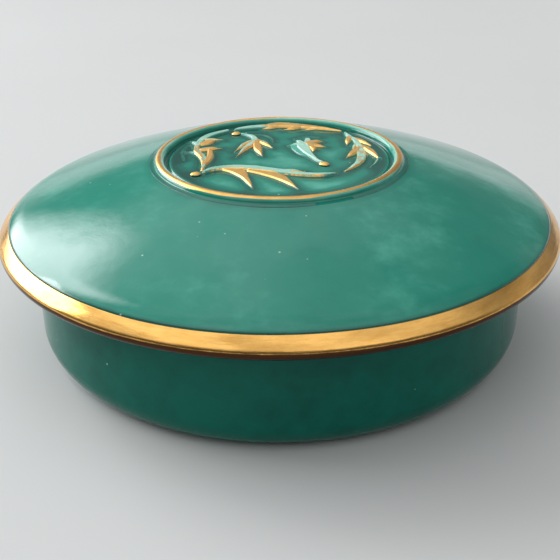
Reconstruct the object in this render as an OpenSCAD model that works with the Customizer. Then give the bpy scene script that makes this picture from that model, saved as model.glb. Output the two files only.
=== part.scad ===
// Round porcelain trinket box with a lift-off domed lid.
// The lid carries a gilded lip, a ring moulding and a wreath of applied leaf sprigs.
// Origin: centre of the foot's underside. +Z is up; -Y is the front.

/* [Lid] */
// Radius of the lid over its rolled lip
lid_r = 80; // [78:0.5:82]
// Height of the middle of the rolled lip above the table
lip_z = 34.5; // [34.25:0.25:35.5]
// Radius of the rolled lip's edge
lip_roll_r = 2; // [1.6:0.1:2.2]
// Thickness of the lid's porcelain wall
lid_wall = 4.2; // [3.5:0.1:5]
// Slope of the dome beside the medallion, in degrees
dome_top_slope = 14.5; // [13:0.5:16]
// Slope of the dome where the shoulder starts, in degrees
dome_low_slope = 21; // [20:0.5:23]

/* [Medallion] */
// Radius of the crest of the ring moulding
moulding_r = 33.9; // [33.4:0.1:34.4]
// Radius of the moulding's half-round section
moulding_roll_r = 1.6; // [1.4:0.1:1.7]
// Height of the flat that the moulding sits on
well_z = 52; // [51.8:0.1:52.2]
// How far the sprigs' platform stands above that flat
platform_rise = 0.5; // [0.3:0.1:0.7]
// Height of the leaf sprigs above their platform
sprig_h = 1.1; // [0.6:0.1:1.3]
// Radius of the gilded buds at the stem ends
bud_r = 1.35; // [1:0.05:1.4]

/* [Gilding] */
// Thickness of the fired gold
gilding_t = 0.2; // [0.15:0.05:0.3]
// Width of the lip's gold band in plan
band_w = 3.2; // [2.5:0.1:4]

/* [Base] */
// How far the lid's lip overhangs the dish's outer wall
overhang = 9.5; // [8.5:0.25:11]
// Height of the dish's mouth rim, where the lid rests
seat_z = 34; // [33.8:0.1:34.2]
// Thickness of the dish's wall and floor
base_wall = 4; // [3:0.25:5]
// Outer radius of the dish's rounded heel
heel_r = 9.1; // [8:0.1:11]
// Width of the bare foot ring
foot_w = 5.6; // [4:0.2:7]
// Depth of the recess inside the foot ring
foot_recess = 1.4; // [1:0.1:2]

/* [Fit] */
// Radial play between the locating ring and the dish's mouth
mouth_play = 0.8; // [0.5:0.1:1.2]
// How far the locating ring drops into the dish
ring_drop = 5.5; // [4:0.5:7]
// Thickness of the locating ring
ring_w = 3.7; // [3:0.1:4.5]

/* [Hidden] */

$fn = 128;
glaze = [0.10, 0.47, 0.39];
pale_glaze = [0.42, 0.66, 0.56];
gold = [0.83, 0.62, 0.28];
bare_porcelain = [0.93, 0.91, 0.87];

// Dish
base_r = lid_r - overhang;
mouth_r = base_r - base_wall;
foot_r = base_r - heel_r;
glaze_line_z = 0.4;
inner_heel_r = 6.5;
rim_round = 1;

// Dome: one long arc from the medallion to the shoulder, then a tighter arc into the lip
well_r = 35.8;
dome_start = [36, 52.5];
shoulder_r = lid_r - 8;
dome_arc_r = (shoulder_r - dome_start[0]) / (sin(dome_low_slope) - sin(dome_top_slope));
dome_c = [dome_start[0] - dome_arc_r * sin(dome_top_slope), dome_start[1] - dome_arc_r * cos(dome_top_slope)];
shoulder_p = dome_c + dome_arc_r * [sin(dome_low_slope), cos(dome_low_slope)];
lip_c = [lid_r - lip_roll_r, lip_z];
// The shoulder arc leaves the dome at shoulder_p and is tangent to the lip's roll
to_lip = lip_c - shoulder_p;
shoulder_in = [sin(dome_low_slope), cos(dome_low_slope)];
shoulder_arc_r = (to_lip * to_lip - pow(lip_roll_r, 2)) / (-2 * (to_lip * shoulder_in) - 2 * lip_roll_r);
shoulder_c = shoulder_p - shoulder_arc_r * shoulder_in;
lip_slope = atan2(lip_c[0] - shoulder_c[0], lip_c[1] - shoulder_c[1]);
band_slope = asin((lid_r - band_w - shoulder_c[0]) / shoulder_arc_r);
lip_bottom_z = lip_z - lip_roll_r;

// Medallion
platform_z = well_z + platform_rise;
platform_r = 30.9;
groove_r = 31.6;
roll_z = well_z + 0.43;
gilt_from = -12;
gilt_to = 42;

// Underside of the lid
ceiling_z = well_z - lid_wall + 0.4;
ring_out_r = mouth_r - mouth_play;
ring_in_r = ring_out_r - ring_w;
ring_top_z = seat_z + 5;
inset_out_r = lid_r - 4.6;
inset_in_r = base_r + 1.9;
inset_depth = 1.2;
under_lip_r = lid_r - 3.2;

// Points along an arc; angles are measured from +Z towards +R
function arc(c, r, a0, a1, n = 12) =
    [for (i = [0:n]) let (a = a0 + (a1 - a0) * i / n) c + r * [sin(a), cos(a)]];

// Height of the lid's inner surface, which runs parallel to the dome
function inner_dome_a(r) = asin((r - dome_c[0]) / (dome_arc_r - lid_wall));
function inner_dome_slope(z) = acos((z - dome_c[1]) / (dome_arc_r - lid_wall));

// Smooth curve through [x, y, half_width] knots, four steps from each knot to the next
function knot(k, i) = k[max(0, min(len(k) - 1, i))];
function between(k, i, t) =
    0.5 * (2 * knot(k, i) + t * (knot(k, i + 1) - knot(k, i - 1))
        + t * t * (2 * knot(k, i - 1) - 5 * knot(k, i) + 4 * knot(k, i + 1) - knot(k, i + 2))
        + t * t * t * (3 * (knot(k, i) - knot(k, i + 1)) + knot(k, i + 2) - knot(k, i - 1)));
function smooth(k) =
    concat([for (i = [0:len(k) - 2], s = [0:3]) between(k, i, s / 4)], [k[len(k) - 1]]);
function heading(p, i) =
    let (d = p[min(len(p) - 1, i + 1)] - p[max(0, i - 1)]) [d[0], d[1]] / norm([d[0], d[1]]);
function side(p, s) =
    [for (i = [0:len(p) - 1])
        let (h = heading(p, i), w = s * max(p[i][2], tip_w))
        [p[i][0] - h[1] * w, p[i][1] + h[0] * w]];

// Narrowest half width of a blade, at its tip
tip_w = 0.12;

// Each blade is a list of [x, y, half_width] knots in plan, from its root to its tip
front_blades = [
    [[-20.5, -12, 0.5], [-15.5, -9.8, 1.1], [-9, -10.2, 1.6], [-2, -13, 1.5], [5, -15.2, 1.1],
        [11, -15.6, 0.9], [16, -13.6, 0.3]],
    [[-13, -10.8, 2.3], [-10.6, -14, 1.7], [-8.8, -18.5, 1], [-7, -24.4, 0]],
    [[-6.5, -13, 1.2], [-1.8, -16.4, 1.9], [1.4, -20, 1.2], [4.9, -25.3, 0]],
    [[-9.5, -10.8, 0.9], [-6.5, -10, 0.8], [-3.8, -10.2, 0]],
    [[0, -13.6, 0.9], [3.8, -12.4, 0.8], [7.2, -11.6, 0]]];
right_blades = [
    [[20.2, 21.5, 0.4], [21, 18, 0.6], [22.5, 14, 0.7], [23.6, 9, 0.9], [23.4, 4, 1.1], [23.4, -2, 1.2],
        [22.2, -6.5, 0.9], [20.2, -9.8, 0.6], [18.2, -12, 0.3]],
    [[21.4, 17.5, 0.5], [20.9, 14, 0.8], [20, 9.4, 0]],
    [[23.2, 11, 0.5], [22.4, 8.2, 0.6], [21.6, 4.8, 0]],
    [[23, 6.5, 0.6], [21.4, 2.6, 0.9], [19.2, -1.6, 0]],
    [[22.4, 15.5, 0.6], [24.6, 12.8, 0.8], [27, 9, 0.2]],
    [[24, 9, 0.6], [26.2, 3.8, 1.1], [28, -2.2, 0.1]],
    [[23.8, 6, 0.4], [24.7, 3.4, 0.5], [25.2, 0, 0]],
    [[28, -1.8, 0.3], [27.2, -5.5, 0.3], [25.4, -8.8, 0.15]]];
back_blades = [
    [[-13.2, 25.2, 0.5], [-7.5, 27.4, 1.2], [-1, 28.4, 1.8], [6, 27.6, 1.6], [12, 25.8, 1], [19, 23.2, 0.3]],
    [[-1, 27.6, 0.8], [-3, 26.4, 0.6], [-5, 25.6, 0]],
    [[5.5, 26.8, 0.8], [3.8, 25.4, 0.6], [1.6, 24.4, 0]],
    [[12, 26, 0.6], [9.4, 24.8, 0.5], [7, 24.2, 0]],
    [[4, 28.8, 0.7], [1, 29.8, 0.5], [-2, 30.2, 0]]];
left_blades = [
    [[-21.2, -10.8, 0.4], [-21, -5, 0.8], [-21.8, 0, 1], [-23.8, 5, 0.9], [-24, 9, 0.7], [-23.4, 13, 0.7],
        [-22, 17, 0.6], [-19.6, 20.6, 0.6], [-15.6, 23.8, 0.3]],
    [[-21, -7.5, 0.4], [-20, -3, 0.8], [-19.6, 1.5, 0.8], [-20, 5.5, 0.6]],
    [[-22.6, 5.2, 0.7], [-19.8, 6.4, 0.9], [-16.6, 8, 0]],
    [[-23, 10.6, 0.8], [-21, 12, 1.2], [-19.4, 13.4, 0.3]],
    [[-22.8, 14.6, 0.7], [-19.8, 15, 0.6], [-16.4, 15.3, 0]],
    [[-23.8, 10.6, 0.7], [-25.2, 13, 0.6], [-26.4, 14.6, 0]],
    [[-23.2, 3, 0.7], [-25.2, 4.4, 0.5], [-27.4, 4.9, 0]]];
inner_left_blades = [
    [[-11.2, 21.3, 0.4], [-9.2, 19.6, 0.5], [-7.6, 17.6, 0.6], [-6.9, 14, 0.9]],
    [[-7, 14.6, 0.8], [-10, 10.8, 0.9], [-12.8, 4.8, 0]],
    [[-7, 13, 0.8], [-9.6, 7.6, 1], [-12.2, 0.2, 0]],
    [[-6.6, 13, 0.8], [-6.2, 7, 1.1], [-4.8, 0.8, 0]],
    [[-6.2, 14, 0.7], [-4.2, 11.6, 0.8], [-1.8, 7.8, 0.1]]];
inner_right_blades = [
    [[12, -5, 0.5], [10.3, -3, 0.5], [8.9, 0.5, 0.8], [7.8, 5, 1.1], [7.4, 9.8, 1.3]],
    [[9.2, -0.8, 0.3], [6.4, 2.6, 1.3], [5.2, 7.4, 0.8]],
    [[6.8, 9.4, 0.9], [5.2, 9.9, 0.8], [3, 9.5, 0]],
    [[7, 10, 0.8], [6.5, 12, 0.7], [5.8, 14.4, 0]],
    [[8.4, 11, 0.8], [8.4, 13.8, 0.7], [7.2, 17.4, 0]],
    [[8.6, 10.4, 1.2], [10.8, 12, 1], [12.9, 13, 0.1]],
    [[8.8, 9, 1], [11.4, 8.3, 0.8], [13.7, 7.5, 0]],
    [[8.8, 8.6, 0.7], [9.8, 6.8, 0.8], [9.5, 4, 0]]];
bud_places = [[-22.8, -13.6], [-13, 21.4], [12.7, -6.4]];

module base_bowl() {
    color(glaze) rotate_extrude() polygon(concat(
        [[0, foot_recess], [foot_r, foot_recess], [foot_r, glaze_line_z]],
        arc([foot_r, heel_r], heel_r, 180 - acos((heel_r - glaze_line_z) / heel_r), 90),
        arc([base_r - rim_round, seat_z - rim_round], rim_round, 90, 0, 6),
        arc([mouth_r + rim_round, seat_z - rim_round], rim_round, 0, -90, 6),
        arc([mouth_r - inner_heel_r, base_wall + inner_heel_r], inner_heel_r, 90, 180),
        [[0, base_wall]]));
}

module foot_ring() {
    edge = 0.3;
    color(bare_porcelain) rotate_extrude() polygon([
        [foot_r - foot_w, foot_recess], [foot_r - foot_w, edge], [foot_r - foot_w + edge, 0],
        [foot_r - edge, 0], [foot_r, edge], [foot_r, foot_recess]]);
}

// Outline of the lip's gold band, or of the porcelain under it when inset by the gold's thickness
function lip_outline(inset) = concat(
    arc(shoulder_c, shoulder_arc_r - inset, band_slope, lip_slope, 6),
    arc(lip_c, lip_roll_r - inset, lip_slope, 180, 16));

module lid_shell() {
    color(glaze) rotate_extrude() polygon(concat(
        [[0, platform_z], [platform_r, platform_z], [groove_r, well_z], [well_r, well_z]],
        arc(dome_c, dome_arc_r, asin((well_r - dome_c[0]) / dome_arc_r), dome_low_slope, 16),
        arc(shoulder_c, shoulder_arc_r, dome_low_slope, band_slope, 4),
        lip_outline(gilding_t),
        [[under_lip_r, lip_bottom_z + gilding_t], [inset_out_r, seat_z + inset_depth]],
        [[inset_in_r, seat_z + inset_depth], [inset_in_r - inset_depth, seat_z]],
        [[ring_out_r, seat_z], [ring_out_r, ring_top_z], [ring_in_r, ring_top_z]],
        arc(dome_c, dome_arc_r - lid_wall, inner_dome_a(ring_in_r), inner_dome_slope(ceiling_z)),
        [[0, ceiling_z]]));
}

module locating_ring() {
    edge = 0.6;
    low_z = seat_z - ring_drop;
    color(glaze) rotate_extrude() polygon([
        [ring_in_r, ring_top_z], [ring_in_r, low_z + edge], [ring_in_r + edge, low_z],
        [ring_out_r - edge, low_z], [ring_out_r, low_z + edge], [ring_out_r, ring_top_z]]);
}

module rim_gilding() {
    outer = lip_outline(0);
    inner = lip_outline(gilding_t);
    color(gold) rotate_extrude() polygon(concat(
        outer,
        [[under_lip_r, lip_bottom_z], [under_lip_r, lip_bottom_z + gilding_t]],
        [for (i = [len(inner) - 1:-1:0]) inner[i]]));
}

module medallion_moulding() {
    roll_c = [moulding_r, roll_z];
    gilt_r = moulding_roll_r - gilding_t;
    color(pale_glaze) rotate_extrude() polygon(concat(
        [[moulding_r - moulding_roll_r, well_z]],
        arc(roll_c, moulding_roll_r, -90, gilt_from, 8),
        arc(roll_c, gilt_r, gilt_from, gilt_to, 8),
        arc(roll_c, moulding_roll_r, gilt_to, 90, 6),
        [[moulding_r + moulding_roll_r, well_z]]));
}

module moulding_gilding() {
    roll_c = [moulding_r, roll_z];
    color(gold) rotate_extrude() polygon(concat(
        arc(roll_c, moulding_roll_r, gilt_from, gilt_to, 8),
        arc(roll_c, moulding_roll_r - gilding_t, gilt_to, gilt_from, 8)));
}

// One tapered blade with a curved spine
module blade(knots) {
    spine = smooth(knots);
    right = side(spine, -1);
    polygon(concat(side(spine, 1), [for (i = [len(right) - 1:-1:0]) right[i]]));
}

// A leaf sprig: its blades joined in plan and raised from the platform
module sprig(blades) {
    color(gold) translate([0, 0, platform_z]) linear_extrude(sprig_h)
        for (b = blades) blade(b);
}

module sprig_front() { sprig(front_blades); }
module sprig_right() { sprig(right_blades); }
module sprig_back() { sprig(back_blades); }
module sprig_left() { sprig(left_blades); }
module sprig_inner_left() { sprig(inner_left_blades); }
module sprig_inner_right() { sprig(inner_right_blades); }

// Half beads on the platform
module sprig_buds() {
    color(gold) for (p = bud_places)
        translate([p[0], p[1], platform_z]) intersection() {
            sphere(bud_r);
            translate([-bud_r, -bud_r, 0]) cube(2 * bud_r);
        }
}

base_bowl();
foot_ring();
lid_shell();
locating_ring();
rim_gilding();
medallion_moulding();
moulding_gilding();
sprig_front();
sprig_right();
sprig_back();
sprig_left();
sprig_inner_left();
sprig_inner_right();
sprig_buds();
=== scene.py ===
"""Looks of a round porcelain trinket box with a gilded lift-off lid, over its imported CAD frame."""

import math

import bpy
import numpy as np
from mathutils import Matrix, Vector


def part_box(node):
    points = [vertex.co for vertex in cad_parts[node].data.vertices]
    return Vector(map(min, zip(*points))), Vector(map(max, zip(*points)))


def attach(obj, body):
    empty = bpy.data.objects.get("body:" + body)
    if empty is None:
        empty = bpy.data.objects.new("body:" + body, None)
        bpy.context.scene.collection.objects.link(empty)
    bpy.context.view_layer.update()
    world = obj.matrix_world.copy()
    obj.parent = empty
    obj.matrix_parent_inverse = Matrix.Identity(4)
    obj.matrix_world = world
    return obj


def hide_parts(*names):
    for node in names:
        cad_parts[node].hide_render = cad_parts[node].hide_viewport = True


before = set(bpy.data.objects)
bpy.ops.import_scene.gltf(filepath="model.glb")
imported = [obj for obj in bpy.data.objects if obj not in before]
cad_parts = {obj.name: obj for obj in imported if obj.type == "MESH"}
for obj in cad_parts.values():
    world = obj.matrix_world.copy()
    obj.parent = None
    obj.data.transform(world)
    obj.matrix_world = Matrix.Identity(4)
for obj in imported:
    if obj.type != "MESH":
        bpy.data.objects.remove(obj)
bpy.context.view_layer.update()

MM = 0.001

# Steps round the axis: plain pieces, pieces that need a smoother edge, and the thin gold line
SEGMENTS, EDGE_SEGMENTS, LINE_SEGMENTS = 400, 720, 900


# ---------------------------------------------------------------- sizes in millimetres, from the frame

def extent(node):
    """(outer radius, lowest z, highest z) of a round CAD node, in mm."""
    lo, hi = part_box(node)
    return max(hi.x, hi.y) / MM, lo.z / MM, hi.z / MM


LID_R, LIP_BOTTOM, _ = extent("rim_gilding")
BASE_R, _, SEAT_Z = extent("base_bowl")
FOOT_R, _, FOOT_RECESS = extent("foot_ring")
PLATFORM_Z = extent("lid_shell")[2]
RING_R, RING_LOW, RING_TOP = extent("locating_ring")
MOULDING_OUT, WELL_Z, _ = extent("medallion_moulding")
CREST_Z = extent("moulding_gilding")[2]

# Thicknesses of the clay, and the height where the glaze stops over the foot
WALL, LID_WALL, LOCATING_WALL, FOOT_WIDTH = 4.0, 4.2, 3.7, 5.6
GLAZE_LINE = 0.4
HEEL_R = BASE_R - FOOT_R
MOUTH_R = BASE_R - WALL
RING_IN = RING_R - LOCATING_WALL
FOOT_IN = FOOT_R - FOOT_WIDTH

# The platform in the medallion, and the half-round ring moulding: its radius and its centre line
PLATFORM_R = 30.9
ROLL_R = 1.6
ROLL_C = MOULDING_OUT - ROLL_R

# The rolled lip with its gold band, and how far the gold stays inside the CAD box
LIP_ROLL = 2.0
LIP_Z = LIP_BOTTOM + LIP_ROLL
BAND_W = 3.2
BAND_UNDER_R = LID_R - 3.2
GOLD_T = 0.06
BOX_GAP = 0.025

# The dome is one long arc down to the shoulder, then a tighter arc that is tangent to the lip's roll
DOME_TOP = np.array([36.0, 52.5])
SLOPE_TOP, SLOPE_LOW = math.radians(14.5), math.radians(21)
SHOULDER_W = 8
SHOULDER_R = LID_R - SHOULDER_W
DOME_ARC = (SHOULDER_R - DOME_TOP[0]) / (math.sin(SLOPE_LOW) - math.sin(SLOPE_TOP))


def outward(slope):
    """Unit normal of a surface that falls away from the axis at this slope."""
    return np.array([np.sin(slope), np.cos(slope)])


DOME_C = DOME_TOP - DOME_ARC * outward(SLOPE_TOP)
SHOULDER_P = DOME_C + DOME_ARC * outward(SLOPE_LOW)
LIP_C = np.array([LID_R - LIP_ROLL, LIP_Z])
TO_LIP = LIP_C - SHOULDER_P
SHOULDER_ARC = (TO_LIP @ TO_LIP - LIP_ROLL**2) / (-2 * TO_LIP @ outward(SLOPE_LOW) - 2 * LIP_ROLL)
SHOULDER_C = SHOULDER_P - SHOULDER_ARC * outward(SLOPE_LOW)
LIP_SLOPE = math.atan2(*(LIP_C - SHOULDER_C))
BAND_SLOPE = math.asin((LID_R - BAND_W - SHOULDER_C[0]) / SHOULDER_ARC)


# ---------------------------------------------------------------- profiles

FILLET_POINTS = 9


def arc(c, r, a0, a1, steps):
    """Points of an arc round c; angles in radians, from +Z towards +R."""
    a = np.linspace(a0, a1, steps + 1)
    return np.stack([c[0] + r * np.sin(a), c[1] + r * np.cos(a)], 1)


def rounded(corners):
    """Outline through (r, z, fillet) corners, each cut back by its fillet and rounded.

    The ends of an open outline have fillet 0.
    """
    points = []
    for i, (r, z, f) in enumerate(corners):
        p = np.array([r, z])
        if f == 0:
            points.append(p[None])
            continue
        before = np.array(corners[i - 1][:2]) - p
        after = np.array(corners[(i + 1) % len(corners)][:2]) - p
        a = p + f * before / np.linalg.norm(before)
        b = p + f * after / np.linalg.norm(after)
        t = np.linspace(0, 1, FILLET_POINTS)[:, None]
        points.append((1 - t) ** 2 * a + 2 * t * (1 - t) * p + t**2 * b)
    return np.concatenate(points)


def spaced(profile, step):
    """The profile with extra points, so that no stretch is longer than step."""
    out = [profile[0]]
    for a, b in zip(profile[:-1], profile[1:]):
        n = max(1, math.ceil(np.linalg.norm(b - a) / step))
        out += [a + (b - a) * k / n for k in range(1, n + 1)]
    return np.array(out)


def dome_z(r):
    """Height of the dome at a radius, for the part between medallion and shoulder."""
    return DOME_C[1] + np.sqrt(DOME_ARC**2 - (r - DOME_C[0]) ** 2)


def lip_outline(inset):
    """The gold band's part of the lid: the end of the shoulder, round the lip, to its underside."""
    return np.concatenate([
        arc(SHOULDER_C, SHOULDER_ARC - inset, BAND_SLOPE, LIP_SLOPE, 16),
        arc(LIP_C, LIP_ROLL - inset, LIP_SLOPE, math.pi, 40)[1:],
        [[BAND_UNDER_R, LIP_BOTTOM + inset]]])


def roll_z(r, lift=0.0):
    """Height of the ring moulding over its flat, easing into the lid on both sides."""
    radius = ROLL_R - GOLD_T / 2 + lift
    fall, sink, ease = 3, 0.03, 0.16
    off = np.abs(r - ROLL_C)
    round_top = np.sqrt(np.maximum(radius**2 - off**2, 0)) - fall * np.maximum(off - radius, 0)
    top = CREST_Z - ROLL_R + round_top
    ground = np.where(r < ROLL_C, WELL_Z, dome_z(r)) - sink
    return ease * np.logaddexp(top / ease, ground / ease)


# ---------------------------------------------------------------- meshes

# Waves of the lid's unevenness: radians per mm along x and along y, and the phase
RIPPLES = ((0.13, 0.05, 1.0), (-0.07, 0.16, 2.6), (0.21, -0.12, 0.4), (0.05, 0.29, 4.1),
           (-0.26, -0.17, 5.2))
RIPPLE_HEIGHT = 0.011


def ripple(x, y):
    """Slow unevenness of the cast and glazed surface, in mm; never above 0."""
    total = sum(np.sin(a * x + b * y + c) for a, b, c in RIPPLES)
    return RIPPLE_HEIGHT * (total - len(RIPPLES))


def make_object(name, verts, faces, body, node, material, values=None):
    """A piece in metres that rides on a body, stands for a CAD node and carries per-point values."""
    mesh = bpy.data.meshes.new(name)
    mesh.from_pydata((np.asarray(verts) * MM).tolist(), [], faces)
    mesh.validate()
    mesh.update()
    mesh.polygons.foreach_set("use_smooth", [True] * len(mesh.polygons))
    for key, data in (values or {}).items():
        attribute = mesh.attributes.new(key, "FLOAT", "POINT")
        attribute.data.foreach_set("value", np.asarray(data, np.float32))
    piece = bpy.data.objects.new(name, mesh)
    bpy.context.scene.collection.objects.link(piece)
    mesh.materials.append(material)
    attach(piece, body)
    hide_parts(node)


def ring_faces(rings, segments, closed):
    """Quads between neighbouring rings of points; closed also joins the last ring to the first."""
    faces = []
    count = rings if closed else rings - 1
    for i in range(count):
        a, b = i * segments, ((i + 1) % rings) * segments
        for j in range(segments):
            k = (j + 1) % segments
            faces.append((a + j, b + j, b + k, a + k))
    return faces


def turned(profile_at, segments=SEGMENTS):
    """Turns a closed outline round the axis. profile_at(theta) gives its (r, z) points at an angle."""
    theta = np.arange(segments) * 2 * math.pi / segments
    outlines = np.stack([profile_at(t) for t in theta], 1)
    r, z = outlines[..., 0], outlines[..., 1]
    verts = np.stack([r * np.cos(theta), r * np.sin(theta), z], -1).reshape(-1, 3)
    return verts, ring_faces(len(r), segments, True)


def turned_to_axis(profile):
    """Turns an outline whose first and last points lie on the axis."""
    inner = profile[1:-1]
    theta = np.arange(SEGMENTS) * 2 * math.pi / SEGMENTS
    r, z = inner[:, :1], inner[:, 1:]
    rings = np.stack([r * np.cos(theta), r * np.sin(theta), z + 0 * theta], -1).reshape(-1, 3)
    verts = np.concatenate([rings, [[0, 0, profile[0, 1]], [0, 0, profile[-1, 1]]]])
    faces = ring_faces(len(inner), SEGMENTS, False)
    last = (len(inner) - 1) * SEGMENTS
    start, end = len(rings), len(rings) + 1
    for j in range(SEGMENTS):
        k = (j + 1) % SEGMENTS
        faces.append((start, j, k))
        faces.append((end, last + k, last + j))
    return verts, faces


# ---------------------------------------------------------------- leaf relief

# Each blade: how high it stands, how much gold was brushed on it, and its (x, y, half width) knots
SPRIGS = {
    "sprig_front": [
        (1.15, 0.17, [(-20.5, -12, 0.5), (-17.5, -9.9, 1.0), (-12.5, -9, 1.3), (-7, -9.9, 1.3),
                      (-1, -12.2, 1.3), (5, -14.6, 1.0), (11, -15.4, 0.8), (15.5, -13.7, 0.3)]),
        (0.85, 1.0, [(-14.8, -9.9, 1.2), (-11.3, -12, 1.9), (-9.3, -16.5, 1.0), (-8.2, -20, 0.65),
                     (-7, -24.4, 0)]),
        (0.85, 1.0, [(-8, -11.4, 0.9), (-3.5, -13.8, 1.5), (0, -16.6, 1.6), (2.2, -20, 0.95),
                     (5, -25.2, 0)]),
        (1.1, 0.5, [(-9.5, -9.4, 0.9), (-6.5, -9.4, 0.8), (-3.2, -10.2, 0)]),
        (1.1, 0.4, [(-1, -12.4, 0.9), (3.4, -12.3, 0.8), (7.2, -12.3, 0)])],
    "sprig_right": [
        (1.0, 0.3, [(20.2, 21.5, 0.4), (21, 18, 0.7), (22.5, 14, 0.8), (23.6, 9, 0.9)]),
        (1.05, 0.45, [(23.6, 9, 0.9), (23.6, 4, 1.1), (23.4, -1, 1.3), (22.2, -6, 1.0),
                      (20.2, -9.6, 0.6), (18.2, -12, 0.3)]),
        (1.0, 0.7, [(21.2, 17.5, 0.6), (20.7, 14, 0.9), (20, 9.8, 0)]),
        (0.9, 0.6, [(23.2, 11, 0.5), (22.2, 8.4, 0.7), (21.4, 5.4, 0)]),
        (1.1, 1.0, [(23, 6, 0.7), (21.4, 2.6, 1.0), (19.2, -1.2, 0)]),
        (1.1, 0.7, [(22.4, 15.5, 0.6), (24.6, 12.8, 0.8), (27, 9.2, 0.2)]),
        (1.1, 0.75, [(24.2, 8.6, 0.6), (26.4, 4.2, 1.0), (28.2, -1.6, 0.2)]),
        (0.9, 0.5, [(23.8, 6, 0.4), (24.7, 3.4, 0.5), (25.2, 0, 0)]),
        (0.7, 0.0, [(28.2, -1.6, 0.35), (27.2, -5.5, 0.35), (25.4, -8.8, 0.15)])],
    "sprig_back": [
        (1.0, 0.0, [(-13.2, 25.2, 0.5), (-9, 26.8, 1.2), (-3.5, 28, 1.3)]),
        (1.15, 0.8, [(-5, 27.2, 0.6), (0, 29, 1.8), (6, 28, 1.5), (12, 26, 0.9), (19, 23.2, 0.3)]),
        (1.1, 0.9, [(-1, 27.6, 0.8), (-3, 26.4, 0.6), (-5, 25.8, 0)]),
        (1.1, 0.7, [(6, 26.8, 0.9), (4, 25.6, 0.7), (1.6, 24.8, 0)]),
        (0.9, 0.5, [(12, 26, 0.6), (9.4, 25, 0.5), (7, 24.4, 0)]),
        (1.1, 0.9, [(4, 28.8, 0.7), (1, 29.8, 0.5), (-2, 30.2, 0)])],
    "sprig_left": [
        (1.05, 0.55, [(-21.2, -10.8, 0.4), (-21, -5, 0.8), (-21.8, 0, 1), (-23.8, 5, 0.9),
                      (-24, 9, 0.8)]),
        (1.0, 0.1, [(-24, 9, 0.8), (-23.6, 13, 1.0), (-22.3, 17, 1.1), (-19.8, 20.6, 1.1),
                    (-15.8, 23.8, 0.7)]),
        (1.1, 0.8, [(-21, -7.5, 0.4), (-20, -3, 0.9), (-19.7, 1.5, 0.9), (-20, 5.5, 0.7)]),
        (1.1, 0.6, [(-22.6, 6, 0.7), (-19.8, 7, 0.8), (-16.8, 7.8, 0)]),
        (1.1, 0.9, [(-23, 11, 0.8), (-21, 12.6, 1.3), (-19.4, 14, 0.4)]),
        (1.0, 0.3, [(-22.8, 15, 0.7), (-19.8, 15.5, 0.6), (-16.4, 15.6, 0)]),
        (0.9, 0.2, [(-23.8, 10.6, 0.7), (-25.2, 13, 0.6), (-26.4, 14.6, 0)]),
        (0.8, 0.1, [(-23.2, 3, 0.7), (-25.2, 4.4, 0.5), (-27.4, 4.9, 0)]),
        (0.45, 0.0, [(-25.4, 14.2, 0.25), (-27.4, 9.6, 0.25), (-27.8, 4, 0.25), (-27, -1.5, 0.2)])],
    "sprig_inner_left": [
        (0.9, 0.0, [(-11.2, 21.3, 0.4), (-9.2, 19.6, 0.6), (-7.6, 17.6, 0.8), (-6.9, 14, 1.0)]),
        (1.0, 0.55, [(-7, 14.6, 0.8), (-10, 10.8, 0.9), (-12.8, 4.8, 0)]),
        (1.0, 0.45, [(-7, 13, 0.8), (-9.6, 7.6, 0.9), (-12.2, 0.4, 0)]),
        (1.1, 0.85, [(-6.6, 13, 0.8), (-6.2, 7, 1.1), (-4.8, 1, 0)]),
        (1.05, 0.6, [(-6.2, 14, 0.7), (-4.2, 11.6, 0.8), (-1.9, 8, 0.1)]),
        (0.5, 0.0, [(-9, 21.2, 0.25), (-5, 20.4, 0.3), (-2.6, 17.6, 0.3), (-1.8, 13.8, 0.15)])],
    "sprig_inner_right": [
        (1.1, 0.0, [(12, -5, 0.5), (10.6, -3, 0.55), (9.3, 0, 0.8), (8, 4, 1.3), (7, 8.6, 1.8)]),
        (0.5, 0.0, [(9.4, -0.6, 0.3), (6.8, 3, 1.2), (5, 7.2, 1.2), (4, 10, 0.7)]),
        (1.0, 0.1, [(6.8, 9.6, 0.9), (5.2, 10.2, 0.8), (3, 10, 0)]),
        (1.0, 0.3, [(7, 10, 1.0), (6.2, 12.4, 0.9), (5.2, 14.8, 0.1)]),
        (1.0, 0.3, [(8.2, 11, 0.9), (8.6, 14.2, 0.9), (8.2, 17, 0.1)]),
        (1.1, 0.8, [(8.6, 11, 1.2), (10.8, 12.4, 1), (13, 13, 0.1)]),
        (1.05, 0.75, [(8.8, 9.4, 1), (11.4, 9, 0.8), (13.7, 8.2, 0)]),
        (1.1, 0.9, [(8.8, 8.6, 0.8), (10, 6.8, 0.9), (9.8, 4, 0)]),
        (0.5, 0.0, [(4.6, 16.2, 0.2), (8.4, 18.6, 0.3), (12.2, 17.8, 0.2)])],
}
# Beads at the stem ends: x, y, radius along and across, and the heading of the long axis in degrees
BUDS = [(-22.8, -13.6, 1.5, 1.3, 30), (-13, 21.4, 1.5, 1.25, 40), (12.6, -6.3, 1.6, 1.35, -40)]
BUD_H = 0.65

# The whole relief stands at this share of the heights above, and thinner blades stand lower still
LOW_RELIEF = 0.76
FULL_HALF_WIDTH, SLIMMEST = 0.7, 0.35

# A blade's rounded edge, its slight crown, and the foot that eases out into the ground round it
EDGE_R = 0.3
CROWN = 0.04
FOOT_SHARE, FOOT_EASE, FOOT_FALL, FOOT_SINK = 0.18, 0.8, 0.4, 0.03

# How softly blades melt into each other in height and in gilding, and how far gold leans frontwards
MERGE, GILT_MERGE = 0.11, 0.05
LEAN = 0.4

# Step of the height grid, its margin round the knots, and how deep the solid goes under the ground
GRID, GRID_MARGIN, SKIRT, SKIRT_BASE = 0.14, 2.4, 0.3, 0.1


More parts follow.
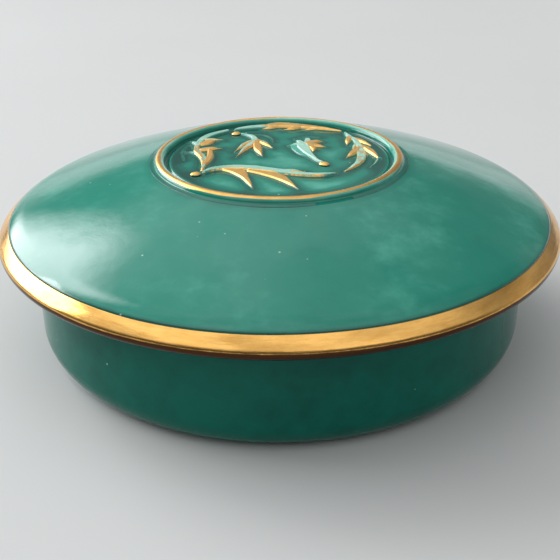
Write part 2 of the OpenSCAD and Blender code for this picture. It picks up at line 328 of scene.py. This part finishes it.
def smooth_spine(knots, steps=8):
    """A Catmull-Rom curve through the knots."""
    k = np.array(knots, float)
    k = np.concatenate([k[:1], k, k[-1:]])
    out = []
    for a, b, c, d in zip(k[:-3], k[1:-2], k[2:-1], k[3:]):
        for t in np.arange(steps) / steps:
            out.append(0.5 * (2 * b + t * (c - a) + t * t * (2 * a - 5 * b + 4 * c - d)
                              + t**3 * (3 * (b - c) + d - a)))
    out.append(k[-1])
    return np.array(out)


def blade_field(x, y, knots):
    """Distance from a blade's spine, half width there, and how far to its front side a point lies."""
    spine = smooth_spine(knots)
    best = np.full(x.shape, 1e9)
    width, front = np.zeros(x.shape), np.zeros(x.shape)
    distance = np.full(x.shape, 1e9)
    for p, q in zip(spine[:-1], spine[1:]):
        d = q[:2] - p[:2]
        t = np.clip(((x - p[0]) * d[0] + (y - p[1]) * d[1]) / (d @ d), 0, 1)
        gap = np.hypot(x - p[0] - t * d[0], y - p[1] - t * d[1])
        half = np.maximum(p[2] + t * (q[2] - p[2]), 0.1)
        near = gap - half < best
        best = np.where(near, gap - half, best)
        distance = np.where(near, gap, distance)
        width = np.where(near, half, width)
        front = np.where(near, (p[1] + t * d[1] - y) / half, front)
    return distance, width, np.clip(front, -1, 1)


def blade_height(x, y, height, knots):
    """Height of a blade with a rounded edge and an eased foot, the gap to it, and its front side."""
    distance, width, front = blade_field(x, y, knots)
    slim = np.clip(width / FULL_HALF_WIDTH, SLIMMEST, 1) ** 0.7
    crest = LOW_RELIEF * height * slim
    foot = FOOT_SHARE * crest
    inward = np.clip((width - distance) / np.minimum(EDGE_R, width), 0, 1)
    edge = np.sqrt(1 - (1 - inward) ** 2)
    t = np.clip(distance / width, 0, 1)
    body = foot + (crest - foot) * ((1 - CROWN) * edge + CROWN * (1 - t**2))
    s = np.clip((distance - width) / FOOT_EASE, 0, 1)
    beyond = np.maximum(distance - width - FOOT_EASE, 0)
    skirt = foot * (1 - s) ** 2 - FOOT_FALL * beyond - FOOT_SINK * s
    return np.where(distance < width, body, skirt), distance - width, front


def relief(x, y, blades):
    """Height of a sprig over its platform, how gilded each point is, and the gap to the nearest blade.

    The brush came from the front, so that side of a blade holds more gold than the back.
    """
    total, gap, gold, strongest = None, None, None, None
    for height, share_gilt, knots in blades:
        h, g, front = blade_height(x, y, height, knots)
        gilt = share_gilt + LEAN * front * (share_gilt > 0)
        if total is None:
            total, gap, strongest, gold = h, g, h, gilt
            continue
        total = MERGE * np.logaddexp(total / MERGE, h / MERGE)
        gap = np.minimum(gap, g)
        share = 1 / (1 + np.exp(np.clip((strongest - h) / GILT_MERGE, -40, 40)))
        gold = gold * (1 - share) + gilt * share
        strongest = np.maximum(strongest, h)
    return total, gold, gap


def height_solid(x, y, top, keep, floor_z):
    """A closed solid under a height grid, with the cells that keep marks, down to floor_z."""
    rows, cols = x.shape
    cell = keep[:-1, :-1] & keep[1:, :-1] & keep[:-1, 1:] & keep[1:, 1:]
    used = np.zeros(x.shape, bool)
    for a, b in ((0, 0), (0, 1), (1, 0), (1, 1)):
        used[a:rows - 1 + a, b:cols - 1 + b] |= cell
    index = -np.ones(x.shape, int)
    index[used] = np.arange(used.sum())
    n = int(used.sum())
    upper = np.stack([x[used], y[used], top[used]], 1)
    lower = np.stack([x[used], y[used], np.full(n, floor_z)], 1)
    faces = []
    for i, j in zip(*np.nonzero(cell)):
        a, b = index[i, j], index[i, j + 1]
        c, d = index[i + 1, j + 1], index[i + 1, j]
        faces.append((a, b, c, d))
        faces.append((a + n, d + n, c + n, b + n))
        sides = ((i > 0 and cell[i - 1, j], a, b), (j < cols - 2 and cell[i, j + 1], b, c),
                 (i < rows - 2 and cell[i + 1, j], c, d), (j > 0 and cell[i, j - 1], d, a))
        for joined, p, q in sides:
            if not joined:
                faces.append((p, p + n, q + n, q))
    return np.concatenate([upper, lower]), faces, used


# ---------------------------------------------------------------- materials

class Graph:
    """Short calls for building a node tree."""

    def __init__(self, tree, coordinates):
        self.nodes = tree.nodes
        self.links = tree.links
        self.place = self.nodes.new("ShaderNodeTexCoord").outputs[coordinates]

    def put(self, socket, value):
        if isinstance(value, bpy.types.NodeSocket):
            self.links.new(value, socket)
        else:
            socket.default_value = value

    def node(self, kind, inputs, output=0, **settings):
        n = self.nodes.new(kind)
        for key, value in settings.items():
            setattr(n, key, value)
        for key, value in inputs.items():
            self.put(n.inputs[key], value)
        return n.outputs[output]

    def math(self, operation, a, b=0.0, clamp=False):
        return self.node("ShaderNodeMath", {0: a, 1: b}, operation=operation, use_clamp=clamp)

    def plus(self, a, b):
        return self.math("ADD", a, b)

    def times(self, a, b):
        return self.math("MULTIPLY", a, b)

    def swing(self, pattern, amount):
        """A 0 to 1 pattern as a swing of this amount about zero."""
        return self.times(self.math("SUBTRACT", pattern, 0.5), amount)

    def noise(self, scale, detail=3.0, roughness=0.5, vector=None):
        settings = {"Vector": vector or self.place, "Scale": scale, "Detail": detail,
                    "Roughness": roughness}
        return self.node("ShaderNodeTexNoise", settings, "Fac")

    def value(self, name):
        return self.node("ShaderNodeAttribute", {}, "Fac", attribute_name=name)

    def band(self, value, low, high, to_low=0.0, to_high=1.0):
        """Smooth step of value from low to high."""
        return self.node("ShaderNodeMapRange", {0: value, 1: low, 2: high, 3: to_low, 4: to_high},
                         interpolation_type="SMOOTHSTEP")

    def mix(self, factor, a, b):
        n = self.nodes.new("ShaderNodeMix")
        n.data_type = "RGBA"
        self.put(n.inputs[0], factor)
        self.put(n.inputs[6], a)
        self.put(n.inputs[7], b)
        return n.outputs[2]

    def ramp(self, factor, stops):
        n = self.nodes.new("ShaderNodeValToRGB")
        n.color_ramp.interpolation = "EASE"
        while len(n.color_ramp.elements) < len(stops):
            n.color_ramp.elements.new(0.5)
        for element, (at, colour) in zip(n.color_ramp.elements, stops):
            element.position = at
            element.color = (*colour, 1)
        self.put(n.inputs[0], factor)
        return n.outputs[0]

    def bump(self, height, strength, distance):
        settings = {"Height": height, "Strength": strength, "Distance": distance}
        return self.node("ShaderNodeBump", settings, "Normal")

    def split(self, vector):
        return [self.node("ShaderNodeSeparateXYZ", {0: vector}, i) for i in range(3)]

    def around(self, stretch):
        """Coordinates that run round the axis, for marks left by a brush as the piece turned."""
        x, y, z = self.split(self.place)
        angle = self.math("ARCTAN2", y, x)
        radius = self.math("SQRT", self.plus(self.times(x, x), self.times(y, y)))
        return self.node("ShaderNodeCombineXYZ", {0: self.times(angle, stretch), 1: radius, 2: z})


class Shader(Graph):
    """The node tree of one material."""

    def __init__(self, name):
        self.material = bpy.data.materials.new(name)
        self.material.use_nodes = True
        super().__init__(self.material.node_tree, "Object")
        self.bsdf = self.nodes["Principled BSDF"]


# From glaze that has run thin to glaze that has pooled; the dark end also serves for painted shade, and
# the pale end for painted highlight
GLAZE_STOPS = [
    (0.0, (0.42, 0.70, 0.57)),
    (0.22, (0.10, 0.45, 0.34)),
    (0.5, (0.006, 0.225, 0.158)),
    (0.75, (0.002, 0.14, 0.10)),
    (1.0, (0.001, 0.08, 0.06))]
GOLD_LIGHT = (0.93, 0.53, 0.155, 1)
GOLD_DEEP = (0.80, 0.42, 0.105, 1)
GOLD_MATT = (1.0, 0.63, 0.22, 1)
# Dark brown for a painted dark reflection on the underside of the lip
GOLD_PAINTED_DARK_REFLECTION = (0.07, 0.03, 0.014, 1)
SPECK = (0.62, 0.82, 0.74, 1)
SEAT_LIGHT, SEAT_DARK = (0.80, 0.77, 0.70, 1), (0.66, 0.62, 0.54, 1)
FOOT_LIGHT, FOOT_DARK = (0.84, 0.81, 0.75, 1), (0.64, 0.59, 0.50, 1)
FLOOR_DARK, FLOOR_LIGHT = (0.58, 0.58, 0.575, 1), (0.62, 0.62, 0.615, 1)
GLAZE_IOR = 1.52
SPECK_SCALE, SPECK_RARITY, SPECK_STRENGTH = 300.0, 0.93, 0.55


def glaze_colour(s):
    """Emerald glaze that is paler where it runs thin and where a highlight is painted, and darker where
    it pools and where shade is painted.
    """
    usual, pooling_and_shade, thinning_and_highlight = 0.47, 0.5, 0.55
    cloud = s.swing(s.noise(34, 4.0, 0.6), 0.42)
    mottle = s.swing(s.noise(210, 4.0, 0.6), 0.2)
    depth = s.plus(s.plus(usual, cloud), mottle)
    # These two lines deepen the colour for pooled glaze and painted shade, and pale it for thin glaze
    # and painted highlight
    depth = s.plus(depth, s.times(s.value("pool_and_shade"), pooling_and_shade))
    depth = s.math("SUBTRACT", depth, s.times(s.value("thin_and_highlight"), thinning_and_highlight), clamp=True)
    colour = s.ramp(depth, GLAZE_STOPS)
    cells = s.nodes.new("ShaderNodeTexVoronoi")
    s.put(cells.inputs["Vector"], s.place)
    s.put(cells.inputs["Scale"], SPECK_SCALE)
    lot = s.node("ShaderNodeSeparateColor", {0: cells.outputs["Color"]}, 0)
    rare = s.math("GREATER_THAN", lot, SPECK_RARITY)
    speck = s.times(rare, s.band(cells.outputs["Distance"], 0.05, 0.11, 1.0, 0.0))
    return s.mix(s.times(speck, SPECK_STRENGTH), colour, SPECK)


def gold_colour(s, streaks):
    """Bright gold in long brush streaks, with a painted dark reflection where a piece asks for it."""
    wear = s.noise(160, 4.0, 0.6)
    tone = s.plus(s.times(streaks, 0.6), s.times(wear, 0.4))
    gold = s.mix(s.band(tone, 0.36, 0.68), GOLD_LIGHT, GOLD_DEEP)
    # Painted dark reflection on the lip, its edge broken up by the brush streaks
    dark_reflection_edge = s.plus(s.value("painted_dark_reflection"), s.swing(streaks, 0.5))
    return s.mix(s.band(dark_reflection_edge, 0.3, 0.8), gold, GOLD_PAINTED_DARK_REFLECTION)


def glaze_material(name, specular):
    """Glossy glaze, left off where the piece says it is bare."""
    s = Shader(name)
    bare, bare_roughness = s.value("bare"), 0.62
    clay = s.mix(s.noise(900, 4.0), SEAT_LIGHT, SEAT_DARK)
    s.put(s.bsdf.inputs["Base Color"], s.mix(bare, glaze_colour(s), clay))
    smooth = s.band(s.noise(26, 4.0, 0.6), 0.3, 0.75, 0.035, 0.11)
    s.put(s.bsdf.inputs["Roughness"], s.math("MAXIMUM", smooth, s.times(bare, bare_roughness)))
    s.put(s.bsdf.inputs["IOR"], GLAZE_IOR)
    s.put(s.bsdf.inputs["Specular IOR Level"], specular)
    peel = s.plus(s.noise(120, 2.0), s.times(s.noise(1500, 2.0), 0.12))
    s.put(s.bsdf.inputs["Normal"], s.bump(peel, 0.12, 0.0006))
    return s.material


def gilding_material(name, smoothest, roughest):
    """Fired gold, brushed on as the piece turned: short fine streaks over long slow ones."""
    s = Shader(name)
    brushed = s.noise(900, 4.0, 0.6, vector=s.around(0.02))
    s.put(s.bsdf.inputs["Base Color"], gold_colour(s, brushed))
    s.put(s.bsdf.inputs["Metallic"], 1.0)
    s.put(s.bsdf.inputs["Roughness"], s.band(s.noise(70, 5.0, 0.6), 0.3, 0.7, smoothest, roughest))
    uneven = s.plus(s.times(brushed, 0.3), s.noise(260, 3.0, vector=s.around(0.006)))
    s.put(s.bsdf.inputs["Normal"], s.bump(uneven, 0.3, 0.0005))
    return s.material


def relief_material():
    """Glaze with dry-brushed gold on the raised parts that hold enough of it."""
    s = Shader("gilt_relief")
    glaze_roughness, gilt_rougher = 0.07, 0.33
    patchy = s.plus(s.value("gold"), s.swing(s.noise(520, 4.0, 0.6), 0.9))
    gilt = s.times(s.band(patchy, 0.42, 0.62), s.band(s.value("rise"), 0.17, 0.32))
    gold = s.mix(s.band(s.noise(700, 3.0), 0.3, 0.7), GOLD_MATT, GOLD_LIGHT)
    s.put(s.bsdf.inputs["Base Color"], s.mix(gilt, glaze_colour(s), gold))
    s.put(s.bsdf.inputs["Metallic"], gilt)
    s.put(s.bsdf.inputs["Roughness"], s.plus(glaze_roughness, s.times(gilt, gilt_rougher)))
    s.put(s.bsdf.inputs["IOR"], GLAZE_IOR)
    s.put(s.bsdf.inputs["Normal"], s.bump(s.noise(600, 3.0), 0.15, 0.0003))
    return s.material


def bare_material():
    """Unglazed clay, slightly stained."""
    s = Shader("bare_porcelain")
    tone = s.plus(s.times(s.noise(140, 4.0), 0.6), s.times(s.noise(1600, 3.0), 0.4))
    s.put(s.bsdf.inputs["Base Color"], s.mix(s.band(tone, 0.35, 0.7), FOOT_LIGHT, FOOT_DARK))
    s.put(s.bsdf.inputs["Roughness"], s.band(tone, 0.3, 0.7, 0.5, 0.75))
    s.put(s.bsdf.inputs["Normal"], s.bump(s.noise(2200, 4.0), 0.4, 0.0002))
    return s.material


def floor_material():
    s = Shader("floor")
    s.put(s.bsdf.inputs["Base Color"], s.mix(s.noise(6, 3.0), FLOOR_DARK, FLOOR_LIGHT))
    s.put(s.bsdf.inputs["Roughness"], 0.9)
    s.put(s.bsdf.inputs["Specular IOR Level"], 0.1)
    return s.material


LID_GLAZE = glaze_material("lid_glaze", specular=0.55)
BASE_GLAZE = glaze_material("base_glaze", specular=0.14)
BAND_GILDING = gilding_material("rim_gold", smoothest=0.13, roughest=0.22)
LINE_GILDING = gilding_material("moulding_gold", smoothest=0.26, roughest=0.36)
RELIEF = relief_material()
BARE = bare_material()


# ---------------------------------------------------------------- pieces

def surface_values(verts, bare=0.0):
    """Glaze values for a turned piece: none of pooling, thinning, painted shade and painted highlight
    unless a piece adds it.
    """
    n = len(verts)
    return {"pool_and_shade": np.zeros(n), "thin_and_highlight": np.zeros(n), "bare": np.zeros(n) + bare}


def step(x, low, high):
    """Smooth step from 0 at low to 1 at high."""
    t = np.clip((x - low) / (high - low), 0, 1)
    return t * t * (3 - 2 * t)


def bell(x, centre, width):
    return np.exp(-((x - centre) / width) ** 2)


def looped(outline, length):
    """A closed outline with points no further apart than length."""
    return spaced(np.concatenate([outline, outline[:1]]), length)[:-1]


def base_bowl():
    """The dish, from the middle of its recess, round the wall and mouth, to the middle of its floor."""
    heel_start = math.pi - math.acos((HEEL_R - GLAZE_LINE) / HEEL_R)
    rim_r, inner_heel, seam = 1, 6.5, 0.05
    outline = np.concatenate([
        rounded([(0, FOOT_RECESS, 0), (FOOT_R - seam, FOOT_RECESS, 0), (FOOT_R - seam, GLAZE_LINE, 0)]),
        arc((FOOT_R, HEEL_R), HEEL_R, heel_start, math.pi / 2, 40),
        arc((BASE_R - rim_r, SEAT_Z - rim_r), rim_r, math.pi / 2, 0, 10),
        arc((MOUTH_R + rim_r, SEAT_Z - rim_r), rim_r, 0, -math.pi / 2, 10),
        arc((MOUTH_R - inner_heel, WALL + inner_heel), inner_heel, math.pi / 2, math.pi, 30),
        [[0, WALL]]])
    verts, faces = turned_to_axis(spaced(outline, 1.8))
    r, z = np.hypot(verts[:, 0], verts[:, 1]), verts[:, 2]
    values = surface_values(verts, bare=step(z, SEAT_Z - 0.45, SEAT_Z - 0.2))
    values["thin_and_highlight"] = 0.8 * step(z, SEAT_Z - 1.6, SEAT_Z - 0.5)
    inside = r < MOUTH_R + WALL / 2
    pool_inside = 0.12 + 0.3 * step(-z, -WALL - 3, -WALL)
    # The glaze pools a little towards the inside floor; the whole outside wall is darkened as painted
    # shade
    values["pool_and_shade"] = np.where(inside, pool_inside, 0.72)
    make_object("base_bowl_glazed", verts, faces, "base", "base_bowl", BASE_GLAZE,
                values)


def foot_ring():
    """The bare foot, with softened edges where it stands."""
    outline = looped(rounded([(FOOT_IN, FOOT_RECESS, 0), (FOOT_IN, 0, 0.5),
                              (FOOT_R, 0, 0.35), (FOOT_R, FOOT_RECESS, 0)]), 0.8)
    verts, faces = turned(lambda theta: outline)
    make_object("foot_ring_bare", verts, faces, "base", "foot_ring", BARE)


def medallion_values(x, y, r, near):
    """Gap from each lid point to the nearest relief, and how crowded the relief is round it."""
    far, reach, bud_r = 99.0, 3, 1.3
    gap, crowd = np.full(len(r), far), np.zeros(len(r))
    for blades in SPRIGS.values():
        beside = relief(x[near], y[near], blades)[2]
        gap[near] = np.minimum(gap[near], beside)
        crowd[near] += np.exp(-np.maximum(beside, 0) / reach)
    crowd[near] += np.exp((r[near] - PLATFORM_R) / reach)
    for bud_x, bud_y, *_ in BUDS:
        gap[near] = np.minimum(gap[near], np.hypot(x[near] - bud_x, y[near] - bud_y) - bud_r)
    return gap, crowd


def lid_shell():
    """The lid, from the top of its platform over the dome and round the lip to its ceiling."""
    ceiling = WELL_Z - LID_WALL + 0.4
    inner_arc = DOME_ARC - LID_WALL
    from_slope = math.asin((RING_IN - DOME_C[0]) / inner_arc)
    to_slope = math.acos((ceiling - DOME_C[1]) / inner_arc)
    platform_foot_r, well_r = PLATFORM_R + 0.7, MOULDING_OUT + 0.3
    medallion = rounded([(0, PLATFORM_Z, 0), (PLATFORM_R, PLATFORM_Z, 0.45),
                         (platform_foot_r, WELL_Z, 0.3), (MOULDING_OUT, WELL_Z, 0),
                         (well_r, dome_z(well_r), 0)])
    top = np.concatenate([
        arc(DOME_C, DOME_ARC, math.asin((well_r - DOME_C[0]) / DOME_ARC), SLOPE_LOW, 24),
        arc(SHOULDER_C, SHOULDER_ARC, SLOPE_LOW, BAND_SLOPE, 10)[1:],
        lip_outline(GOLD_T)])
    groove_z, seat_r = SEAT_Z + 1.2, BASE_R + 0.7
    under = np.concatenate([
        rounded([(BAND_UNDER_R, LIP_BOTTOM + GOLD_T, 0), (LID_R - 4.6, groove_z, 0.6),
                 (BASE_R + 1.9, groove_z, 0.5), (seat_r, SEAT_Z, 0.4), (RING_R, SEAT_Z, 0),
                 (RING_R, RING_TOP, 0), (RING_IN, RING_TOP, 0)])[1:],
        arc(DOME_C, inner_arc, from_slope, to_slope, 24),
        [[0, ceiling]]])
    outline = np.concatenate([spaced(medallion, 0.75), spaced(top, 1.6)[1:], spaced(under, 2.5)])
    verts, faces = turned_to_axis(outline)
    x, y, z = verts.T
    r = np.hypot(x, y)

    middle = dome_z(np.clip(r, MOULDING_OUT, SHOULDER_R)) - LID_WALL / 2
    on_top = z > np.select([r < MOULDING_OUT, r < SHOULDER_R], [ceiling + 1, middle], SEAT_Z + 2)
    on_platform, band_r = r < PLATFORM_R, LID_R - BAND_W
    gap, crowd = medallion_values(x, y, r, on_top & (r < PLATFORM_R + 1))

    # Glaze pools beside the relief, the ring and the band, and runs thin on open ground and edges; the
    # platform's edge is paler still, partly thin glaze and partly a painted highlight
    beside_ring = bell(r, MOULDING_OUT + 0.6, 1.3) + bell(r, PLATFORM_R + 0.9, 0.8)
    pooled = 0.6 * np.exp(-np.maximum(gap, 0) / 1.6) + 0.5 * beside_ring
    # The platform is also darker from 26 to 29 mm out, and where the relief crowds together
    pooled += (0.5 * step(r, 26, 29) + 0.5 * step(crowd, 0.5, 1.1)) * on_platform
    beside_band = 0.9 * bell(r, band_r, 0.5)
    open_ground = 0.24 * (1 - step(crowd, 0.25, 0.75)) * on_platform
    # Paler glaze along the platform's rounded edge: glaze thinned over the edge, plus a painted
    # highlight where that edge catches the light
    platform_edge_highlight = 0.7 * bell(r, PLATFORM_R - 0.1, 0.3)
    seat = (np.abs(z - SEAT_Z) < 0.05) & (r < BASE_R + 0.8)
    values = surface_values(verts, bare=seat)
    values["pool_and_shade"] = np.where(on_top, np.clip(pooled, 0, 1) + beside_band, 0)
    values["thin_and_highlight"] = np.where(on_top, platform_edge_highlight + open_ground, 0)

    fade = 1 - step(r, SHOULDER_R, band_r)
    verts[:, 2] += np.where(on_top & (r < band_r), ripple(x, y) * fade, 0)
    make_object("lid_shell_glazed", verts, faces, "lid", "lid_shell", LID_GLAZE, values)


def locating_ring():
    """The plain ring under the lid, with its lower edges rounded."""
    edge_r = 1.1
    outline = looped(rounded([(RING_IN, RING_TOP, 0), (RING_IN, RING_LOW, edge_r),
                              (RING_R, RING_LOW, edge_r), (RING_R, RING_TOP, 0)]), 1)
    verts, faces = turned(lambda theta: outline)
    values = surface_values(verts)
    values["thin_and_highlight"] = 0.7 * step(-verts[:, 2], -RING_LOW - 1.2, -RING_LOW)
    make_object("locating_ring_glazed", verts, faces, "lid", "locating_ring", LID_GLAZE,
                values)


def hand_wobble(theta, waves):
    """A painter's small drift round the ring, from (size, waves per turn, phase) terms."""
    return sum(a * math.sin(n * theta + p) for a, n, p in waves)


def rim_gilding():
    """The gold band round the lip. Its upper edge wanders a little, and its underside is darkened with
    a painted dark reflection.
    """
    buried = GOLD_T * 1.4
    outer, inner = lip_outline(BOX_GAP), lip_outline(buried)
    lengths = np.concatenate([[0], np.cumsum(np.linalg.norm(np.diff(outer, axis=0), axis=1))])
    share = np.linspace(0, 1, 64)

    def along(points, start):
        at = (start + share * (1 - start)) * lengths[-1]
        return np.stack([np.interp(at, lengths, column) for column in points.T], 1)

    def outline(theta):
        drift = 0.012 + hand_wobble(theta, [(0.006, 3, 0.5), (0.004, 7, 1.9), (0.002, 17, 4)])
        return np.concatenate([along(outer, drift), along(inner, drift)[::-1]])

    verts, faces = turned(outline, EDGE_SEGMENTS)
    # Painted dark reflection: the gold darkens from a little above the roll's centre round to the
    # underside
    painted_dark_reflection = step(-verts[:, 2], -LIP_Z - 0.9, -LIP_Z)
    make_object("rim_gilding_band", verts, faces, "lid", "rim_gilding", BAND_GILDING,
                {"painted_dark_reflection": painted_dark_reflection})


def medallion_moulding():
    """The half-round ring moulding, with its foot let into the lid."""
    half, foot_z = 2.9, WELL_Z - 0.2
    r = np.linspace(ROLL_C - half, ROLL_C + half, 84)
    outline = np.concatenate([np.stack([r, roll_z(r)], 1), [[r[-1], foot_z], [r[0], foot_z]]])
    verts, faces = turned(lambda theta: outline, EDGE_SEGMENTS)
    height = (verts[:, 2] - WELL_Z) / (CREST_Z - WELL_Z)
    values = surface_values(verts)
    values["thin_and_highlight"] = 0.7 * step(height, 0.6, 0.97)
    values["pool_and_shade"] = 0.9 * (1 - step(height, 0.05, 0.42))
    make_object("medallion_moulding_glazed", verts, faces, "lid", "medallion_moulding",
                LID_GLAZE, values)


def moulding_gilding():
    """The gold line on the ring moulding, painted by hand, so its place and width wander."""
    share = np.linspace(0, 1, 18)
    sink, depth = 0.02, 0.12

    def outline(theta):
        middle = ROLL_C + 0.25 + hand_wobble(theta, [(0.10, 2, 0.7), (0.06, 5, 2), (0.03, 13, 1)])
        half = 0.8 + hand_wobble(theta, [(0.09, 3, 1.4), (0.06, 8, 0.3), (0.04, 19, 2.2)])
        r = middle - half + 2 * half * share
        edge = np.sqrt(np.maximum(1 - (2 * share - 1) ** 2, 0))
        top = np.stack([r, roll_z(r, -sink + (sink + GOLD_T / 2) * edge)], 1)
        return np.concatenate([top, np.stack([r, roll_z(r, -depth)], 1)[::-1]])

    verts, faces = turned(outline, LINE_SEGMENTS)
    make_object("moulding_gilding_line", verts, faces, "lid", "moulding_gilding",
                LINE_GILDING)


def sprig(node, blades):
    """One sprig of the wreath, as a solid under its height grid."""
    knots = np.concatenate([np.array(k) for _, _, k in blades])
    low, high = knots.min(axis=0) - GRID_MARGIN, knots.max(axis=0) + GRID_MARGIN
    x, y = np.meshgrid(np.arange(low[0], high[0], GRID), np.arange(low[1], high[1], GRID))
    height, gold, gap = relief(x, y, blades)
    top = PLATFORM_Z + np.maximum(height, -SKIRT) + ripple(x, y)
    verts, faces, used = height_solid(x, y, top, height > -SKIRT, PLATFORM_Z - SKIRT - SKIRT_BASE)
    rise = np.maximum(height[used], 0)
    upper = {
        "gold": gold[used],
        "rise": rise,
        "thin_and_highlight": 0.75 * step(rise, 0.12, 0.7),
        "pool_and_shade": 0.55 * np.exp(-np.maximum(gap[used], 0) / 1.4) * (1 - step(rise, 0.1, 0.4))}
    values = {key: np.concatenate([data, np.zeros(len(rise))]) for key, data in upper.items()}
    make_object(node + "_relief", verts, faces, "lid", node, RELIEF, values)


def sprig_buds():
    """Oval beads at the ends of the stems, each a closed solid that sits a little over half proud."""
    verts, faces = [], []
    around, up, lift = 48, 20, 0.1
    for bud_x, bud_y, long_r, short_r, heading in BUDS:
        turn = math.radians(heading)
        base = len(verts)
        for i in range(up):
            tilt = math.pi * (i + 0.5) / up
            z = PLATFORM_Z + lift + BUD_H * math.cos(tilt)
            for j in range(around):
                a = 2 * math.pi * j / around
                u = long_r * math.sin(tilt) * math.cos(a)
                v = short_r * math.sin(tilt) * math.sin(a)
                verts.append((bud_x + u * math.cos(turn) - v * math.sin(turn),
                              bud_y + u * math.sin(turn) + v * math.cos(turn), z))
        faces += [tuple(base + k for k in f[::-1]) for f in ring_faces(up, around, False)]
        faces.append(tuple(base + j for j in range(around)))
        faces.append(tuple(base + (up - 1) * around + j for j in reversed(range(around))))
    verts = np.array(verts)
    rise = verts[:, 2] - PLATFORM_Z
    values = {"gold": np.full(len(verts), 0.7), "rise": rise, "thin_and_highlight": step(rise, 0.1, 0.8),
              "pool_and_shade": 1 - step(rise, 0, 0.4)}
    make_object("sprig_buds_relief", verts, faces, "lid", "sprig_buds", RELIEF, values)


base_bowl()
foot_ring()
lid_shell()
locating_ring()
rim_gilding()
medallion_moulding()
moulding_gilding()
for sprig_node, sprig_blades in SPRIGS.items():
    sprig(sprig_node, sprig_blades)
sprig_buds()


# ---------------------------------------------------------------- floor, light and camera

def floor():
    """A wide plain floor at the height the foot stands on."""
    half = 6.0
    corners = [(-half, -half, 0), (half, -half, 0), (half, half, 0), (-half, half, 0)]
    mesh = bpy.data.meshes.new("floor")
    mesh.from_pydata(corners, [], [(0, 1, 2, 3)])
    plane = bpy.data.objects.new("floor", mesh)
    bpy.context.scene.collection.objects.link(plane)
    mesh.materials.append(floor_material())


def soft_light(name, azimuth, elevation, distance, size, watts, colour):
    """A rectangular soft light that faces the lid. Azimuth 0 is behind the box, and 90 is right."""
    az, el = math.radians(azimuth), math.radians(elevation)
    target = np.array([0, 0, SEAT_Z * MM])
    away = np.array([math.sin(az) * math.cos(el), math.cos(az) * math.cos(el), math.sin(el)])
    light = bpy.data.lights.new(name, "AREA")
    light.shape = "RECTANGLE"
    light.size, light.size_y = size
    light.energy = watts
    light.color = colour
    lamp = bpy.data.objects.new(name, light)
    lamp.location = target + distance * away
    lamp.rotation_euler = (math.pi / 2 - el, 0, math.pi - az)
    bpy.context.scene.collection.objects.link(lamp)


def surroundings():
    """A pale room that lights the box by direction; to the camera itself it is one plain grey.

    The ceiling is bright, it is dimmer to the right, in front and low behind, and there is a wide
    window to the back left.
    """
    window_strength, backdrop, tint = 5.7, 0.62, (0.97, 0.99, 1.0, 1)
    world = bpy.data.worlds.new("surroundings")
    world.use_nodes = True
    w = Graph(world.node_tree, "Generated")
    x, y, z = w.split(w.place)
    right = w.times(w.times(w.band(x, -0.2, 0.6), w.band(y, -0.4, 0.3)), w.band(z, 0.3, 0.6))
    front = w.times(w.band(y, -0.3, 0.3, 1.0, 0.0), w.band(z, 0.25, 0.6, 1.0, 0.0))
    back = w.times(w.band(y, 0.5, 0.8), w.band(z, 0.35, 0.62, 1.0, 0.0))
    cloudy = w.band(w.noise(3.2, 3.0, 0.55), 0.3, 0.7, 0.7, 1.3)
    ambient = w.times(w.band(z, 0.25, 0.8, 0.42, 1.08), cloudy)
    for where, depth in ((right, 0.62), (front, 0.75), (back, 0.45)):
        ambient = w.times(ambient, w.math("SUBTRACT", 1.0, w.times(where, depth)))
    horizon = w.times(w.band(y, 0.82, 0.94), w.band(z, 0.12, 0.24, 0.62, 0.0))

    window_edges = (-70, -56, -37, -27)
    left_out, left_in, right_in, right_out = (math.radians(a) for a in window_edges)
    slant_end = math.radians(-36)
    azimuth = w.math("ARCTAN2", x, y)
    across = w.times(w.band(azimuth, left_out, left_in), w.band(azimuth, right_in, right_out, 1.0, 0.0))
    raised = w.math("SUBTRACT", z, w.band(azimuth, left_in, slant_end, 0.12, 0.0))
    upward = w.times(w.band(z, 0.05, 0.2), w.band(raised, 0.58, 0.76, 1.0, 0.0))
    window = w.times(w.times(across, upward), window_strength)
    lit = w.plus(w.plus(ambient, horizon), window)
    seen = w.node("ShaderNodeLightPath", {}, "Is Camera Ray")
    background = w.nodes["Background"]
    w.put(background.inputs["Color"], tint)
    w.put(background.inputs["Strength"], w.node("ShaderNodeMapRange", {0: seen, 3: lit, 4: backdrop}))
    bpy.context.scene.world = world


def camera():
    """Close to the box and looking down on the lid from the front. Distance is in lid radii."""
    distance = 3.617 * LID_R * MM
    elevation, pitch, roll = math.radians(22.86), math.radians(26.5), math.radians(-0.46)
    focal_mm, sensor_mm, near_m = 63.2, 36, 0.01
    rim_height = SEAT_Z * MM
    data = bpy.data.cameras.new("camera")
    data.lens = focal_mm
    data.sensor_width = sensor_mm
    data.clip_start = near_m
    view = bpy.data.objects.new("camera", data)
    view.location = (0, -distance * math.cos(elevation), rim_height + distance * math.sin(elevation))
    view.rotation_euler = (math.pi / 2 - pitch, 0, 0)
    view.rotation_euler.rotate_axis("Z", roll)
    bpy.context.scene.collection.objects.link(view)
    bpy.context.scene.camera = view


floor()
soft_light("window_light", -76, 23, 1.0, (0.46, 0.5), 4, (0.96, 0.98, 1.0))
surroundings()
camera()
bpy.context.scene.view_settings.view_transform = "Standard"
